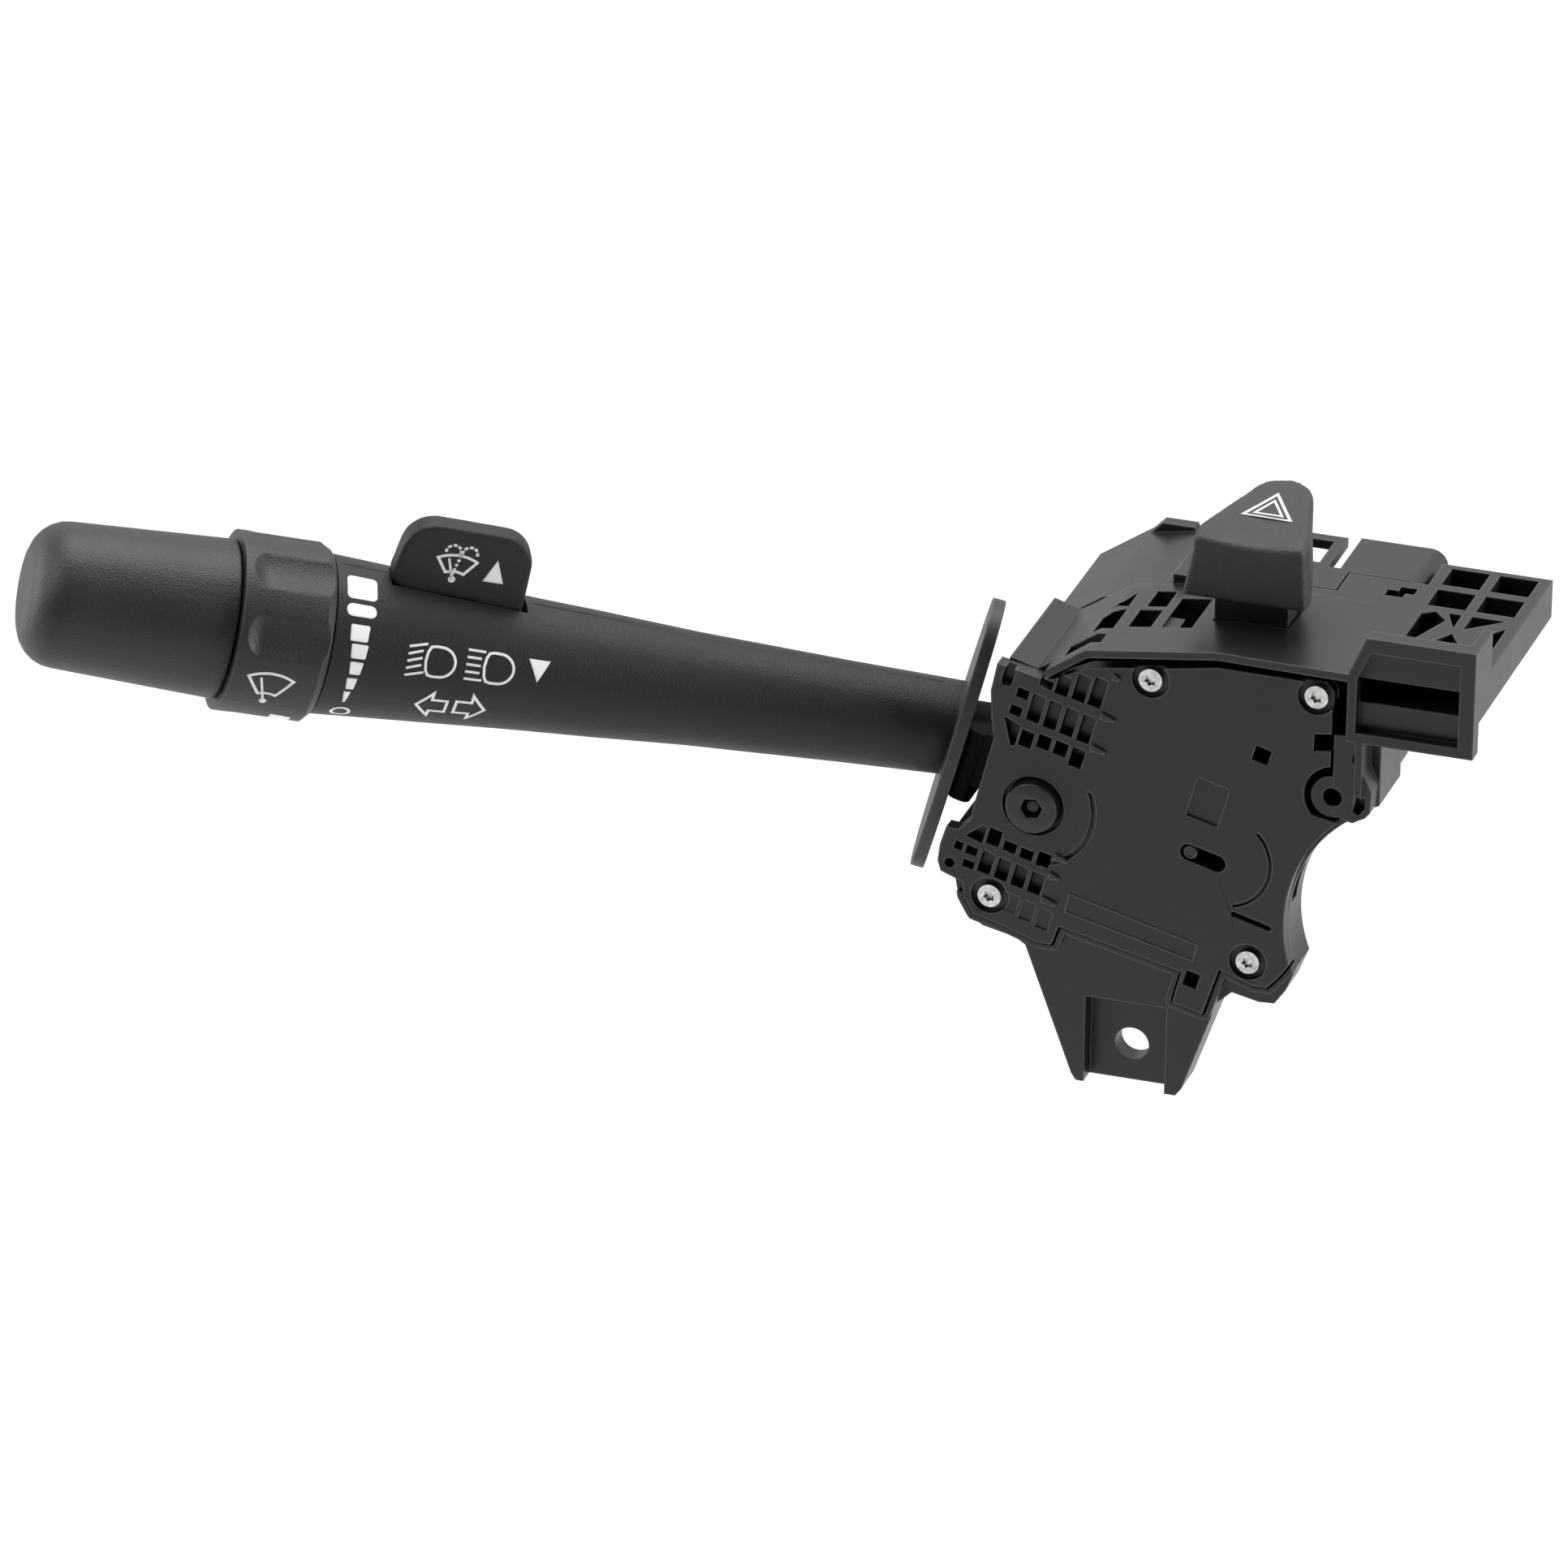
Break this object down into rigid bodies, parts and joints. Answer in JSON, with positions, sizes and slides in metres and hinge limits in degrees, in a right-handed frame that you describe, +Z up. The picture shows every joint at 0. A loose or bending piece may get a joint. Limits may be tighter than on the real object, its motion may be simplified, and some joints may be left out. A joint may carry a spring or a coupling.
{
  "type": "combination stalk switch",
  "caption": "Steering-column stalk switch: tapered lever with turning wiper ring, washer paddle and end knob on a flat switch housing with a hazard button, sockets and mounting bracket.",
  "frame": {"origin": "centre of the bracket's mounting hole, on the back face of the bracket web that meets the column", "axes": "+Z up, +X to the right as the driver sees it, +Y away from the driver; the lever points left and a little towards the driver"},
  "size_m": [0.2803, 0.1488, 0.1231],
  "materials": {
    "lever_plastic": "fine grained dark grey",
    "housing_plastic": "smooth satin black",
    "button_plastic": "grained charcoal",
    "pivot_plastic": "smooth black",
    "root_plastic": "smooth black",
    "inner_plastic": "smooth natural white",
    "board": "laminate",
    "zinc_screw": "bright zinc",
    "spring_steel": "plain steel",
    "brass_contact": "rolled brass"
  },
  "bodies": {
    "housing": {"main_housing": "housing_plastic", "rear_housing": "housing_plastic", "front_cover": "housing_plastic", "cover_screws": "zinc_screw", "contact_board": "board", "rear_terminals": "brass_contact", "detent_cam": "inner_plastic", "turn_contact_plate": "brass_contact", "hazard_spring": "spring_steel", "cancel_spring": "spring_steel"},
    "turn_body": {"turn_carrier": "pivot_plastic", "dimmer_pin": "spring_steel", "detent_spring": "spring_steel", "turn_wipers": "brass_contact"},
    "detent_body": {"detent_plunger": "inner_plastic"},
    "dimmer_plunger_body": {"dimmer_plunger": "inner_plastic"},
    "lever_body": {"lever": "lever_plastic", "lever_root": "root_plastic", "wiper_spindle": "root_plastic", "wiper_board": "board", "end_knob": "lever_plastic", "paddle_pin": "spring_steel", "paddle_spring": "spring_steel"},
    "ring_body": {"wiper_ring": "lever_plastic", "wiper_rotor": "inner_plastic"},
    "paddle_body": {"washer_paddle": "lever_plastic"},
    "hazard_body": {"hazard_button": "button_plastic", "hazard_slider": "inner_plastic"},
    "pawl_body": {"cancel_pawl": "inner_plastic"}
  },
  "joints": [
    {"name": "turn_signal", "type": "hinge", "parent": "housing", "child": "turn_body", "pos_m": [-0.0195, 0, 0.0524], "axis": [0, 1, 0], "range_deg": [-7, 7]},
    {"name": "high_beam_pull", "type": "hinge", "parent": "turn_body", "child": "lever_body", "pos_m": [-0.02336, 0.0045, 0.05344], "axis": [0.2588, 0, 0.9659], "range_deg": [0, 5], "stiffness_Nm_per_rad": 4, "springref_deg": -1.15},
    {"name": "wiper_speed", "type": "hinge", "parent": "lever_body", "child": "ring_body", "pos_m": [-0.16286, -0.05756, 0.08816], "axis": [-0.8742, -0.4382, 0.209], "range_deg": [-15, 106]},
    {"name": "washer_press", "type": "hinge", "parent": "lever_body", "child": "paddle_body", "pos_m": [-0.13102, -0.04289, 0.09083], "axis": [-0.8742, -0.4382, 0.209], "range_deg": [0, 8], "stiffness_Nm_per_rad": 0.3, "springref_deg": -1.15},
    {"name": "hazard_press", "type": "slide", "parent": "housing", "child": "hazard_body", "axis": [0, 0, -1], "range_m": [0, 0.0045], "stiffness_N_per_m": 400, "springref_m": -0.001},
    {"name": "cancel_push", "type": "slide", "parent": "housing", "child": "pawl_body", "axis": [0.9659, 0, -0.2588], "range_m": [0, 0.0055], "stiffness_N_per_m": 120, "springref_m": -0.001},
    {"name": "detent_press", "type": "slide", "parent": "turn_body", "child": "detent_body", "axis": [-0.9659, 0, 0.2588], "range_m": [0, 0.0009], "stiffness_N_per_m": 500, "springref_m": -0.0005},
    {"name": "dimmer_contact", "type": "slide", "parent": "turn_body", "child": "dimmer_plunger_body", "axis": [0, 1, 0], "range_m": [0, 0.00053]}
  ],
  "couplings": [
    {"joint": "dimmer_contact", "follows": "high_beam_pull", "m_per_rad": 0.006}
  ]
}
